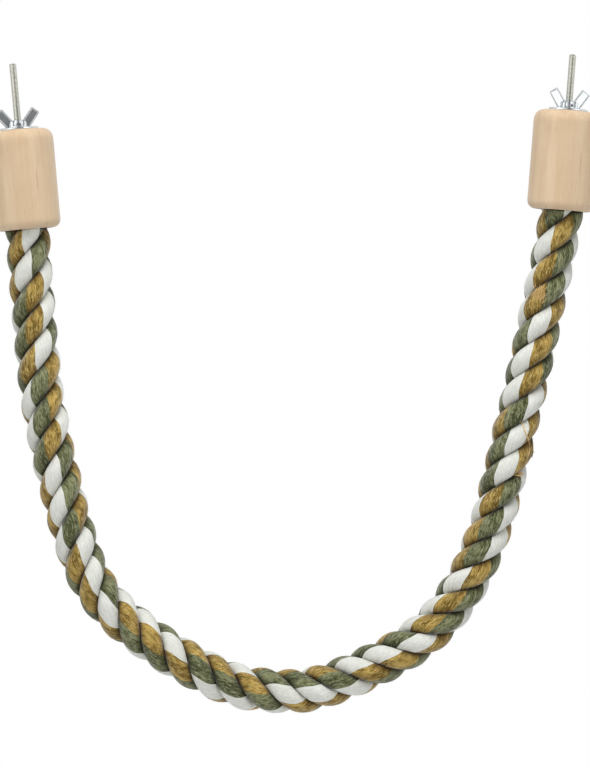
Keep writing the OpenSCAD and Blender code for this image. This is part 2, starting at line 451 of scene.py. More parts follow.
def outwards(mesh):
    """Turns a closed mesh's faces outwards."""
    work = bmesh.new()
    work.from_mesh(mesh)
    bmesh.ops.recalc_face_normals(work, faces=work.faces)
    work.to_mesh(mesh)
    work.free()


def evaluated_mesh(piece):
    """The plain mesh that a piece's modifiers make. The modifiers are removed."""
    bpy.context.view_layer.update()
    made = piece.evaluated_get(bpy.context.evaluated_depsgraph_get())
    mesh = bpy.data.meshes.new_from_object(made)
    piece.modifiers.clear()
    return mesh


def finish_piece(piece, node, body, material):
    """Gives a piece its material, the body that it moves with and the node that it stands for."""
    piece.data.materials.clear()
    piece.data.materials.append(material)
    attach(piece, body)
    if node:
        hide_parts(node)


def tube_faces(rings, sides, first=0):
    """Faces between the neighbouring rings of a tube, whose points are counted ring by ring from first."""
    faces = []
    for start in range(first, first + (rings - 1) * sides, sides):
        for k in range(sides):
            a, b = start + k, start + (k + 1) % sides
            faces.append((a, b, b + sides, a + sides))
    return faces


def tube_uvs(across, along):
    """The uv pairs of tube_faces' corners, from the places of its columns and of its rings."""
    uvs = []
    for low, high in zip(along[:-1], along[1:]):
        for left, right in zip(across[:-1], across[1:]):
            uvs.extend([(left, low), (right, low), (right, high), (left, high)])
    return uvs


def fan(middle, first, sides):
    """Triangles from a middle point to the ring that starts at first."""
    return [(middle, first + k, first + (k + 1) % sides) for k in range(sides)]


def rope_route():
    """The rope's whole line, from the floor of one socket to the floor of the other."""
    floor, below = SOCKET_DEPTH - BLOCK_H, -BLOCK_H - STRAIGHT
    start = [on_axis(ENDS["left"], z) for z in (floor, below)]
    return start + ROUTE + [on_axis(ENDS["right"], z) for z in (below, floor)]


def rope_lay():
    """The rope's middle line, the way out of its U, and for each of its points the length along it,
    how free it is of the blocks, and how many lobes of the strands come before it."""
    line, way, along = smooth_line(rope_route(), RING_STEP)
    centre = np.stack([line[:, 0], np.zeros(len(line)), line[:, 1]], axis=1)
    outward = np.stack([way[:, 1], np.zeros(len(line)), -way[:, 0]], axis=1)
    below_left = along - SOCKET_DEPTH
    half = (along[-1] - 2 * SOCKET_DEPTH) / 2
    share = (below_left - half) / half
    lobes = LOBES_MIDDLE + LOBES_HALF * share + LOBES_EASE * share**3
    free = np.clip(np.minimum(below_left, 2 * half - below_left) / ROPE_D, 0, 1)
    return centre, outward, along, free, lobes


def strand_radius(angle):
    """Distance from a strand's centre to its surface: an ellipse, pressed flat by its two neighbours."""
    ellipse = STRAND_DEEP * STRAND_WIDE / np.hypot(STRAND_WIDE * np.cos(angle), STRAND_DEEP * np.sin(angle))
    reach = ellipse**-STRAND_SQUARENESS
    to_neighbour = math.pi / 2 + math.pi / STRANDS
    for side in (-1, 1):
        facing = np.maximum(np.cos(angle - side * to_neighbour), LEAST_FACING)
        contact = STRAND_CENTRE * math.sin(math.pi / STRANDS) / facing
        reach = reach + contact**-STRAND_SQUARENESS
    return reach ** (-1 / STRAND_SQUARENESS)


def strand_rings(strand, centre, outward, along, free, lobes):
    """Rings of points round one strand, its own middle line, and the open_air of each point: how far out
    from the rope's middle it stands, where a crest is 1, and 0 inside the blocks."""
    turns = (lobes - 0.5 - strand) / STRANDS
    round_rope = 2 * math.pi * turns
    radial = np.cos(round_rope)[:, None] * TO_VIEWER + np.sin(round_rope)[:, None] * outward
    sideways = -np.sin(round_rope)[:, None] * TO_VIEWER + np.cos(round_rope)[:, None] * outward

    column = np.arange(COLUMNS)
    yarn = 2 * math.pi * (column[None] / COLUMNS - COLOUR_START[strand] - YARN_TURNS * turns[:, None])
    yarn = (yarn + math.pi) % (2 * math.pi) - math.pi
    yarn_stops = 2 * math.pi * np.array([-0.5, -YARNS_OPEN, YARNS_OPEN, 0.5])
    section_stops = 2 * math.pi * np.array([-0.5, -SECTION_OPEN, SECTION_OPEN, 0.5])
    angle = np.interp(yarn, yarn_stops, section_stops)

    swell = sum(size * np.sin(along / wave + shift * strand) for size, wave, shift in STRAND_SWELLS)
    ridge = np.where(column % 2, YARN_RELIEF, -YARN_RELIEF)
    reach = strand_radius(angle) * (1 + swell * free)[:, None] + ridge[None]
    deep = (STRAND_CENTRE + reach * np.cos(angle))[..., None]
    wide = (reach * np.sin(angle))[..., None]
    rings = centre[:, None] + deep * radial[:, None] + wide * sideways[:, None]
    open_air = np.hypot(deep, wide)[..., 0] / CREST_R * (free[:, None] > MOUTH_CLEAR)
    return rings, centre + STRAND_CENTRE * radial, open_air


def rope_strands():
    """Three strands of coloured yarns, laid round each other along the route, as one mesh. A yarn's place is
    a share of the way round its strand, and the length along the rope, a metre on for each strand."""
    centre, outward, along, free, lobes = rope_lay()
    across = [k / COLUMNS for k in range(COLUMNS + 1)]
    vertices, faces, uvs, open_air = [], [], [], []
    for strand in range(STRANDS):
        rings, middle_line, strand_open = strand_rings(strand, centre, outward, along, free, lobes)
        first = len(vertices)
        vertices.extend(rings.reshape(-1, 3))
        open_air.extend(strand_open.ravel())
        faces.extend(tube_faces(len(rings), COLUMNS, first))
        uvs.extend(tube_uvs(across, along + strand))
        for i, turn in ((0, -1), (len(rings) - 1, 1)):
            middle = len(vertices)
            vertices.append(middle_line[i])
            open_air.append(0.0)
            faces.extend(face[::turn] for face in fan(middle, first + i * COLUMNS, COLUMNS))
            uvs.extend((k / COLUMNS, along[i] + strand) for k in range(COLUMNS) for _ in range(3))
    piece = mesh_piece("rope_strands", vertices, faces, uvs)
    store(piece.data, "open_air", open_air)
    return piece, centre


def arc_section(corners, closed=False):
    """A turned piece's half section from (out, up, rounding) corners, with its long stretches cut short."""
    outline = []
    for i, (out, up, rounding) in enumerate(corners):
        here = np.array([out, up])
        if not rounding:
            outline.append(here)
            continue
        before = np.array(corners[i - 1][:2]) - here
        after = np.array(corners[(i + 1) % len(corners)][:2]) - here
        before, after = before / np.linalg.norm(before), after / np.linalg.norm(after)
        half = math.acos(before @ after) / 2
        middle = (before + after) / np.linalg.norm(before + after)
        centre = here + middle * rounding / math.sin(half)
        first = here + before * rounding / math.tan(half) - centre
        last = here + after * rounding / math.tan(half) - centre
        start = math.atan2(first[1], first[0])
        sweep = (math.atan2(last[1], last[0]) - start + math.pi) % (2 * math.pi) - math.pi
        for step in range(ARC_STEPS + 1):
            angle = start + sweep * step / ARC_STEPS
            outline.append(centre + rounding * np.array([math.cos(angle), math.sin(angle)]))
    return cut_short(outline, closed)


def cut_short(outline, closed):
    """An outline with its long stretches cut in even short ones. It comes back to its start if closed."""
    longest = max(np.ptp(np.array(outline), axis=0)) / SECTION_STEPS
    fine = []
    for i, point in enumerate(outline):
        follower = outline[(i + 1) % len(outline)]
        cuts = math.ceil(np.linalg.norm(follower - point) / longest)
        if i == len(outline) - 1 and not closed:
            cuts = 1
        fine.extend(point + (follower - point) * cut / cuts for cut in range(cuts))
    return fine


def turned(section, sides, closed=False):
    """Vertices and faces of a half section turned round +Z. A section that isn't closed ends on the axis."""
    rings = section if closed else section[1:-1]
    angles = 2 * math.pi * np.arange(sides) / sides
    vertices = [(out * math.cos(a), out * math.sin(a), up) for out, up in rings for a in angles]
    count = len(vertices)
    faces = [tuple(k % count for k in face) for face in tube_faces(len(rings) + closed, sides)]
    if not closed:
        for first, (_, up) in ((0, section[0]), (count - sides, section[-1])):
            faces.extend(fan(len(vertices), first, sides))
            vertices.append((0.0, 0.0, up))
    return vertices, faces


def turned_piece(name, corners, sides, end, closed=False):
    """A turned piece on an end's axis, from the corners of its half section."""
    vertices, faces = turned(arc_section(corners, closed), sides, closed)
    piece = mesh_piece(name, placed(vertices, end), faces)
    outwards(piece.data)
    piece.data.set_sharp_from_angle(angle=math.radians(SHARP_ANGLE))
    return piece


def end_block(name, end):
    """A turned wooden block with rounded ends, the rope's socket and the stud's hole."""
    return turned_piece(name, [
        (0, SOCKET_DEPTH - BLOCK_H, 0),
        (SOCKET_R, SOCKET_DEPTH - BLOCK_H, 0),
        (SOCKET_R, MOUTH_CHAMFER - BLOCK_H, 0),
        (SOCKET_R + MOUTH_CHAMFER, -BLOCK_H, 0),
        (BLOCK_R, -BLOCK_H, ROPE_SIDE_ROUND),
        (BLOCK_R, 0, FACE_ROUND),
        (PILOT_R, 0, 0),
        (PILOT_R, -PILOT_DEPTH, 0),
        (0, -PILOT_DEPTH, 0),
    ], BLOCK_SIDES, end)


def washer(name, end):
    """A flat washer with rounded outer edges."""
    return turned_piece(name, [
        (WASHER_BORE, 0, 0),
        (WASHER_R, 0, WASHER_ROUND),
        (WASHER_R, WASHER_T, WASHER_ROUND),
        (WASHER_BORE, WASHER_T, 0),
    ], WASHER_SIDES, end, closed=True)


def plate(width, length, corner, section):
    """A plate with round corners that stands on its short edge. section goes from its edge inwards."""
    vertices = []
    rings = section[::-1] + [(inset, -half) for inset, half in section]
    for inset, half in rings:
        round_r = max(corner - inset, LEAST_ROUND)
        for i, (side, end) in enumerate(((1, 1), (-1, 1), (-1, -1), (1, -1))):
            x = side * (width / 2 - inset - round_r)
            z = length / 2 + end * (length / 2 - inset - round_r)
            for step in range(ARC_STEPS + 1):
                angle = math.pi / 2 * (i + step / ARC_STEPS)
                vertices.append((x + round_r * math.cos(angle), half, z + round_r * math.sin(angle)))
    sides = 4 * (ARC_STEPS + 1)
    faces = tube_faces(len(rings), sides)
    faces.append(tuple(range(sides)))
    faces.append(tuple(range(len(vertices) - sides, len(vertices))))
    return vertices, faces


def shift_shell(shell, move=(0, 0, 0), lean=0, turn=0):
    """A shell leaned about Y, moved, then turned about Z, in degrees."""
    vertices, faces = shell
    x, y, z = np.asarray(vertices, float).T
    a, b = math.radians(lean), math.radians(turn)
    x, z = x * math.cos(a) + z * math.sin(a) + move[0], -x * math.sin(a) + z * math.cos(a) + move[2]
    y = y + move[1]
    x, y = x * math.cos(b) - y * math.sin(b), x * math.sin(b) + y * math.cos(b)
    return np.stack([x, y, z], axis=1), faces


def joined(name, shells):
    """One object that holds several closed shells."""
    vertices, faces = [], []
    for shell, shell_faces in shells:
        first = len(vertices)
        vertices.extend(shell)
        faces.extend(tuple(first + k for k in face) for face in shell_faces)
    piece = mesh_piece(name, vertices, faces)
    outwards(piece.data)
    return piece


def nut_round(lower, upper, sides=NUT_SIDES):
    """A round part of the wing nut, from the (out, up, rounding) of its lower and its upper edge."""
    return turned(arc_section([(0, lower[1], 0), lower, upper, (0, upper[1], 0)]), sides)


def nut_shells(wing_lean):
    """What a pressed nut is made up of: flange, core, four rolled folds and two rimmed wings."""
    flange = nut_round(
        lower=(FLANGE_R, 0, FLANGE_UNDER_ROUND),
        upper=(FLANGE_R - FLANGE_TAPER, FLANGE_T, FLANGE_TOP_ROUND),
    )
    core = nut_round(
        lower=(CORE_R + CORE_FLARE, FOOT, CORE_FOOT_ROUND),
        upper=(CORE_R - CORE_FLARE, CORE_H, CORE_TOP_ROUND),
    )
    fold = nut_round(
        lower=(FOLD_R + CORE_FLARE, FOOT, FOLD_FOOT_ROUND),
        upper=(FOLD_R - CORE_FLARE, FOLD_H, FOLD_TOP_ROUND),
        sides=FOLD_SIDES,
    )
    wing = plate(WING_W, WING_L, WING_CORNER, WING_SECTION)
    shells = [flange, core]
    for across in (-FOLD_ACROSS, FOLD_ACROSS):
        for front in (-FOLD_FRONT, FOLD_FRONT):
            shells.append(shift_shell(fold, (across, front, 0)))
    for turn in (0, 180):
        shells.append(shift_shell(wing, (WING_ROOT, 0, WING_LOW), wing_lean, turn))
    return shells


def nut_cutters():
    """What is cut out of a nut: its bore, all that is under the flange, and a window in front and behind."""
    bore = nut_round(lower=(NUT_BORE, -BORE_PAST, 0), upper=(NUT_BORE, CORE_H + BORE_PAST, 0))
    under = nut_round(lower=(WING_L, -WING_W, 0), upper=(WING_L, 0, 0), sides=FOLD_SIDES)
    window = plate(WINDOW_W, WINDOW_H, WINDOW_CORNER, [(0.0, CORE_R)])
    shells = [bore, under]
    for side in (-1, 1):
        shells.append(shift_shell(window, (0, side * (2 * CORE_R - WINDOW_IN), WINDOW_LOW)))
    return shells


def window_shade(points):
    """How much painted shade a nut's points take: 1 deep in a window, 0 on its outer skin."""
    across, _, up = abs(points - (0, 0, WINDOW_LOW + WINDOW_H / 2)).T
    inside = (across < WINDOW_W / 2 + NUT_GRAIN) & (up < WINDOW_H / 2 + NUT_GRAIN)
    return np.clip((CORE_R - SHADE_EDGE - np.hypot(points[:, 0], points[:, 1])) / SHADE_FADE, 0, 1) * inside


def wing_nut(name, end):
    """A pressed wing nut in its place: its shells made one soft skin, with its bore and windows cut."""
    piece = joined(name, nut_shells(end["wing_lean"]))
    cutter = joined(name + "_cutter", nut_cutters())
    grain = piece.modifiers.new("one skin", "REMESH")
    grain.mode, grain.voxel_size, grain.use_smooth_shade = "VOXEL", NUT_GRAIN, True
    soft = piece.modifiers.new("soft edges", "SMOOTH")
    soft.factor, soft.iterations = NUT_SOFTENING, NUT_SOFTENED
    cut = piece.modifiers.new("holes", "BOOLEAN")
    cut.operation, cut.solver, cut.object = "DIFFERENCE", "MANIFOLD", cutter
    skin = evaluated_mesh(piece)
    bpy.data.objects.remove(cutter)

    points = np.empty(3 * len(skin.vertices), np.float32)
    skin.vertices.foreach_get("co", points)
    points = points.reshape(-1, 3)
    store(skin, "groove", window_shade(points))
    points, _ = shift_shell((points, None), turn=end["nut_turn"])
    points = placed(points * MM + (0, 0, WASHER_T), end)
    skin.vertices.foreach_set("co", points.astype(np.float32).ravel())
    skin.update()
    piece.data = skin
    return piece


def frayed_fibres():
    """Short curled fibres that have come out of one mustard lobe, as more loose yarns."""
    chance = np.random.default_rng(FRAYED_SEED)
    fibres = []
    for _ in range(FRAYED_FIBRES):
        middle = np.array(FRAYED_MIDDLE) + np.array(FRAYED_HALF) * chance.uniform(-1, 1, 2)
        lean = chance.normal(*FRAYED_LEAN)
        way = np.array([math.sin(lean), math.cos(lean)])
        side = np.array([way[1], -way[0]]) * chance.uniform(-FRAYED_CURL, FRAYED_CURL)
        length = FRAYED_LENGTH * chance.uniform(*FRAYED_LENGTHS)
        height = chance.uniform(*FRAYED_HEAPS) * FRAYED_HEAP
        radius = FRAYED_RADIUS * chance.uniform(*FRAYED_RADII)
        open_air = chance.uniform(*FRAYED_OPEN_AIR)
        points = []
        for share, lift in [(-0.5, -FRAYED_ROOT)] + [(share, rise * height) for share, rise in FRAYED_ARCH]:
            x, z = middle + length * (share * way + share**2 * side)
            points.append((x, z, lift))
        fibres.append((radius, open_air, points))
    return fibres


def yarn_tube(points, radius):
    """A two-ply yarn along points, as a closed shell with its place in the mustard third of the yarns."""
    line, way, along = smooth_line(points, radius * PLY_STEP)
    side = np.cross(way, TO_VIEWER)
    side /= np.linalg.norm(side, axis=1)[:, None]
    front = np.cross(side, way)
    angle = 2 * math.pi * np.arange(PLY_SIDES) / PLY_SIDES
    from_end = np.minimum(along, along[-1] - along) / (YARN_END_LENGTH * radius)
    taper = np.clip(from_end, 0, 1) * (1 - YARN_END) + YARN_END
    ply = 1 + PLY_DEPTH * np.cos(2 * (angle[None] - 2 * math.pi * along[:, None] / PLY_TURN))
    reach = (radius * taper[:, None] * ply)[..., None]
    out = np.cos(angle)[None, :, None] * side[:, None] + np.sin(angle)[None, :, None] * front[:, None]
    vertices = list((line[:, None] + reach * out).reshape(-1, 3))

    wide = 1 - 2 * YARN_MARGIN
    across = [(MUSTARD + YARN_MARGIN + wide * k / PLY_SIDES) / COLOURS for k in range(PLY_SIDES + 1)]
    faces = tube_faces(len(line), PLY_SIDES)
    uvs = tube_uvs(across, along)
    for first, turn in ((0, -1), (len(vertices) - PLY_SIDES, 1)):
        faces.append(tuple(range(first, first + PLY_SIDES))[::turn])
        uvs.extend([((MUSTARD + 0.5) / COLOURS, along[0])] * PLY_SIDES)
    return vertices, faces, uvs


def loose_yarns(rope):
    """The yarn that came loose on the right leg, its frayed end and a small loop, lying on the strands."""
    skin = rope.data
    strands = BVHTree.FromPolygons([v.co for v in skin.vertices], [face.vertices for face in skin.polygons])
    vertices, faces, uvs, open_air = [], [], [], []
    for radius, yarn_open, stretch in LOOSE_YARNS + frayed_fibres():
        points = []
        for x, z, lift in stretch:
            place = strands.ray_cast((x, -2 * ROPE_D, z), AWAY)[0]
            depth = place.y if place else 0.0
            points.append((x, depth - lift, z))
        shell, shell_faces, shell_uvs = yarn_tube(points, radius)
        first = len(vertices)
        vertices.extend(shell)
        faces.extend(tuple(first + k for k in face) for face in shell_faces)
        uvs.extend(shell_uvs)
        open_air.extend([yarn_open] * len(shell))
    piece = mesh_piece("loose_yarn", vertices, faces, uvs)
    store(piece.data, "open_air", open_air)
    return piece


class Nodes:
    """Adds nodes to a tree. An input is a value, or a socket that an earlier node gave."""

    def __init__(self, tree):
        self.tree = tree

    def add(self, kind, inputs=None, out=0, **settings):
        """A new node's output of the given name or number, or the node itself where it has no outputs."""
        node = self.tree.nodes.new(kind)
        for name, value in settings.items():
            setattr(node, name, value)
        for name, value in (inputs or {}).items():
            if isinstance(value, bpy.types.NodeSocket):
                self.tree.links.new(value, node.inputs[name])
            else:
                node.inputs[name].default_value = value
        return node.outputs[out] if node.outputs else node

    def maths(self, operation, *values, **settings):
        """What a Math node makes of one or two values."""
        return self.add("ShaderNodeMath", dict(enumerate(values)), operation=operation, **settings)

    def plus(self, first, second):
        """The sum of two values."""
        return self.maths("ADD", first, second)

    def minus(self, first, second):
        """The first value less the second."""
        return self.maths("SUBTRACT", first, second)

    def times(self, first, second):
        """The product of two values."""
        return self.maths("MULTIPLY", first, second)

    def over(self, first, second, **settings):
        """The first value divided by the second."""
        return self.maths("DIVIDE", first, second, **settings)

    def mean(self, first, second):
        """Halfway between two values."""
        return self.times(self.plus(first, second), 0.5)

    def vectors(self, operation, *values, out=0):
        """What a Vector Math node makes of one or two vectors."""
        return self.add("ShaderNodeVectorMath", dict(enumerate(values)), out, operation=operation)

    def vector(self, x, y, z):
        """A vector from its three parts."""
        return self.add("ShaderNodeCombineXYZ", {0: x, 1: y, 2: z})

    def parts(self, vector):
        """The three parts of a vector."""
        return self.add("ShaderNodeSeparateXYZ", {0: vector}).node.outputs

    def attribute(self, name, out):
        """A named attribute of the mesh."""
        return self.add("ShaderNodeAttribute", out=out, attribute_type="GEOMETRY", attribute_name=name)

    def mix(self, factor, first, second, blend="MIX"):
        """Two colours mixed, or one laid over the other. The numbers are the node's colour sockets."""
        inputs = {0: factor, 6: first, 7: second}
        return self.add("ShaderNodeMix", inputs, 2, data_type="RGBA", blend_type=blend)

    def ramp(self, value, stops, interpolation="LINEAR"):
        """A colour that follows a value, by (value, colour) stops."""
        node = self.tree.nodes.new("ShaderNodeValToRGB")
        node.color_ramp.interpolation = interpolation
        while len(node.color_ramp.elements) < len(stops):
            node.color_ramp.elements.new(1.0)
        for element, (place, colour) in zip(node.color_ramp.elements, stops):
            element.position, element.color = place, colour
        self.tree.links.new(value, node.inputs[0])
        return node.outputs[0]

    def greys(self, value, low, high, first=0, last=1):
        """A grey that goes from first, where the value is low, to last, where it is high."""
        return self.ramp(value, [(low, grey(first)), (high, grey(last))])

    def noise(self, place, scale, detail, roughness=0.5, squeeze=None, lean=0, out=0):
        """Noise that fills a space. Where the space is squeezed along a direction, it is drawn out there."""
        if squeeze:
            place = self.add("ShaderNodeMapping", {
                "Vector": place, "Rotation": (0, 0, lean), "Scale": squeeze,
            })
        inputs = {"Vector": place, "Scale": scale, "Detail": detail, "Roughness": roughness}
        return self.add("ShaderNodeTexNoise", inputs, out)

    def surface(self, output, looks, height, strength, distance):
        """Ends a material in a surface of the given looks, with fine relief that follows a height."""
        bump = self.add("ShaderNodeBump", {"Height": height, "Strength": strength, "Distance": distance})
        self.tree.links.new(self.add("ShaderNodeBsdfPrincipled", {"Normal": bump, **looks}), output)


def geometry_tree(name, inputs):
    """An empty Geometry Nodes tree. inputs has a name, socket type and default for each of its sizes."""
    tree = bpy.data.node_groups.new(name, "GeometryNodeTree")
    tree.interface.new_socket("Geometry", in_out="INPUT", socket_type="NodeSocketGeometry")
    tree.interface.new_socket("Geometry", in_out="OUTPUT", socket_type="NodeSocketGeometry")
    for label, kind, value in inputs:
        socket = tree.interface.new_socket(label, in_out="INPUT", socket_type=kind)
        if value is not None:
            socket.default_value = value
    given = tree.nodes.new("NodeGroupInput").outputs
    result = tree.nodes.new("NodeGroupOutput").inputs[0]
    return Nodes(tree), given, result


def grow(piece, tree, values):
    """Runs a tree on a piece, with values for its named inputs, and keeps the plain mesh."""
    modifier = piece.modifiers.new(tree.name, "NODES")
    modifier.node_group = tree
    for item in tree.interface.items_tree:
        if item.item_type == "SOCKET" and item.in_out == "INPUT" and item.name in values:
            modifier[item.identifier] = values[item.name]
    piece.data = evaluated_mesh(piece)


def thread_depth(nodes, up, turns, pitch, depth, crest):
    """How deep a right-handed thread is at a height and a turn round the stud, in round waves."""
    beat = nodes.times(nodes.minus(nodes.over(up, pitch), turns), 2 * math.pi)
    valley = nodes.times(nodes.minus(1.0, nodes.maths("COSINE", beat)), 0.5)
    return nodes.times(nodes.maths("POWER", valley, crest), depth)


def stud_reach(nodes, up, turns, given):
    """The stud's radius at a height and a turn round it, and how deep the machine thread is there."""
    radius, out, inside = given["Radius"], given["Length out"], given["Length in"]
    pitch, deepest = given["Machine pitch"], given["Machine depth"]
    machine_depth = thread_depth(nodes, up, turns, pitch, deepest, MACHINE_CREST)
    screw_depth = thread_depth(nodes, up, turns, given["Screw pitch"], given["Screw depth"], SCREW_CREST)
    outside = nodes.maths("GREATER_THAN", up, MACHINE_FROM)
    machine = nodes.times(nodes.minus(radius, machine_depth), outside)
    screw = nodes.times(nodes.minus(radius, screw_depth), nodes.minus(1.0, outside))
    thread = nodes.plus(machine, screw)
    past_bevel = nodes.minus(up, nodes.minus(out, given["Chamfer"]))
    bevel = nodes.times(nodes.over(past_bevel, given["Chamfer"], use_clamp=True), given["Chamfer"])
    taper = nodes.over(nodes.plus(up, inside), given["Point length"], use_clamp=True)
    point = nodes.times(radius, nodes.plus(nodes.times(taper, 1 - POINT_TIP), POINT_TIP))
    reach = nodes.maths("MINIMUM", thread, nodes.maths("MINIMUM", nodes.minus(radius, bevel), point))
    return reach, machine_depth


def stud_tree():
    """A hanger bolt on +Z: a cylinder whose surface follows a thread, then leaned and put in its place."""
    number, vector = "NodeSocketFloat", "NodeSocketVector"
    nodes, given, result = geometry_tree("threaded stud", [
        ("Radius", number, STUD_R),
        ("Length out", number, ENDS["left"]["out"]),
        ("Length in", number, STUD_IN),
        ("Machine pitch", number, MACHINE_PITCH),
        ("Machine depth", number, MACHINE_DEPTH),
        ("Screw pitch", number, SCREW_PITCH),
        ("Screw depth", number, SCREW_DEPTH),
        ("Point length", number, POINT_L),
        ("Chamfer", number, STUD_CHAMFER),
        ("Lean", vector, None),
        ("Face", vector, None),
        ("Finish", "NodeSocketMaterial", None),
    ])
    out, inside = given["Length out"], given["Length in"]
    pitches = nodes.over(nodes.plus(out, inside), given["Machine pitch"])
    bar = nodes.add("GeometryNodeMeshCylinder", {
        "Vertices": STUD_SIDES,
        "Side Segments": nodes.maths("CEIL", nodes.times(pitches, RINGS_PER_PITCH)),
        "Radius": 1.0,
        "Depth": nodes.plus(out, inside),
    }, fill_type="NGON")
    x, y, z = nodes.parts(nodes.add("GeometryNodeInputPosition"))
    up = nodes.plus(z, nodes.times(nodes.minus(out, inside), 0.5))
    turns = nodes.over(nodes.maths("ARCTAN2", y, x), 2 * math.pi)
    reach, machine_depth = stud_reach(nodes, up, turns, given)
    # The groove attribute, 1 deep in a thread's valley, is where the metal's painted shade falls
    grooved = nodes.add("GeometryNodeStoreNamedAttribute", {
        "Geometry": bar,
        "Name": "groove",
        "Value": nodes.over(machine_depth, given["Machine depth"]),
    }, data_type="FLOAT", domain="POINT")
    place = nodes.vector(nodes.times(x, reach), nodes.times(y, reach), up)
    shaped = nodes.add("GeometryNodeSetPosition", {"Geometry": grooved, "Position": place})
    smooth = nodes.add("GeometryNodeSetShadeSmooth", {"Geometry": shaped})
    leaned = nodes.add("GeometryNodeTransform", {
        "Geometry": smooth, "Translation": given["Face"], "Rotation": given["Lean"],
    })
    real = nodes.add("GeometryNodeRealizeInstances", {"Geometry": leaned})
    finished = nodes.add("GeometryNodeSetMaterial", {"Geometry": real, "Material": given["Finish"]})
    nodes.tree.links.new(finished, result)
    return nodes.tree


def threaded_stud(name, end, tree, material):
    """A stud with its threads, in its place in an end's block."""
    piece = mesh_piece(name, [], [])
    grow(piece, tree, {
        "Length out": end["out"],
        "Lean": (0.0, math.radians(end["lean"]), 0.0),
        "Face": (end["face"][0], 0.0, end["face"][1]),
        "Finish": material,
    })
    outwards(piece.data)
    return piece


def fuzz_fibre(nodes, length, radius):
    """One bent fibre that stands up from its root, a little way under the surface."""
    bend = {"Resolution": FUZZ_POINTS}
    for label, (out, up) in FUZZ_BEND.items():
        bend[label] = nodes.vector(nodes.times(length, out), 0, nodes.times(length, up))
    curve = nodes.add("GeometryNodeCurvePrimitiveBezierSegment", bend)
    section = nodes.add("GeometryNodeCurvePrimitiveCircle", {"Resolution": FUZZ_SIDES, "Radius": radius})
    return nodes.add("GeometryNodeCurveToMesh", {"Curve": curve, "Profile Curve": section, "Fill Caps": True})


def fuzz_tree():
    """Short bent fibres that stand on the open side of the strands and keep the place of their yarn."""
    number, whole = "NodeSocketFloat", "NodeSocketInt"
    nodes, given, result = geometry_tree("cotton fuzz", [
        ("Fibres per square metre", number, FUZZ_DENSITY),
        ("Fibre length", number, FUZZ_LENGTH),
        ("Fibre radius", number, FUZZ_RADIUS),
        ("Openness", number, FUZZ_OPENNESS),
        ("Seed", whole, FUZZ_SEED),
        ("Finish", "NodeSocketMaterial", None),
    ])
    open_air = nodes.add("GeometryNodeInputNamedAttribute", {"Name": "open_air"})
    spread = nodes.add("GeometryNodeDistributePointsOnFaces", {
        "Mesh": given["Geometry"],
        "Selection": nodes.maths("GREATER_THAN", open_air, given["Openness"]),
        "Density": given["Fibres per square metre"],
        "Seed": given["Seed"],
    }).node.outputs
    yarns = nodes.add("GeometryNodeInputNamedAttribute", {"Name": "yarns"}, data_type="FLOAT_VECTOR")
    marked = nodes.add("GeometryNodeStoreNamedAttribute", {
        "Geometry": spread["Points"], "Name": "yarn_place", "Value": yarns,
    }, data_type="FLOAT_VECTOR", domain="POINT")
    lean_and_spin = nodes.add("FunctionNodeRandomValue", {
        0: (-FUZZ_LEAN, -FUZZ_LEAN, 0.0), 1: (FUZZ_LEAN, FUZZ_LEAN, 2 * math.pi), "Seed": FUZZ_TURN_SEED,
    }, data_type="FLOAT_VECTOR")
    turned_by = nodes.add("FunctionNodeRotateRotation", {
        "Rotation": spread["Rotation"], "Rotate By": lean_and_spin,
    }, rotation_space="LOCAL")
    size = nodes.add("FunctionNodeRandomValue", {
        2: FUZZ_LEAST, 3: FUZZ_GREATEST, "Seed": FUZZ_SIZE_SEED,
    }, 1, data_type="FLOAT")
    fibres = nodes.add("GeometryNodeInstanceOnPoints", {
        "Points": marked,
        "Instance": fuzz_fibre(nodes, given["Fibre length"], given["Fibre radius"]),
        "Rotation": turned_by,
        "Scale": size,
    })
    real = nodes.add("GeometryNodeRealizeInstances", {"Geometry": fibres})
    place = nodes.add("GeometryNodeInputNamedAttribute", {"Name": "yarn_place"}, data_type="FLOAT_VECTOR")
    named = nodes.add("GeometryNodeStoreNamedAttribute", {
        "Geometry": real, "Name": "yarns", "Value": place,
    }, data_type="FLOAT2", domain="CORNER")
    finished = nodes.add("GeometryNodeSetMaterial", {"Geometry": named, "Material": given["Finish"]})
    nodes.tree.links.new(finished, result)
    return nodes.tree


def rope_fuzz(rope, material):
    """The fibres that stand out of the rope's strands, as a piece of their own."""
    piece = bpy.data.objects.new("rope_fuzz", rope.data.copy())
    bpy.context.scene.collection.objects.link(piece)
    grow(piece, fuzz_tree(), {"Finish": material})
    return piece


def new_material(name):
    """An empty node material, its node helper and its surface input."""
    material = bpy.data.materials.new(name)
    material.use_nodes = True
    material.node_tree.nodes.clear()
    output = material.node_tree.nodes.new("ShaderNodeOutputMaterial")
    return material, Nodes(material.node_tree), output.inputs["Surface"]


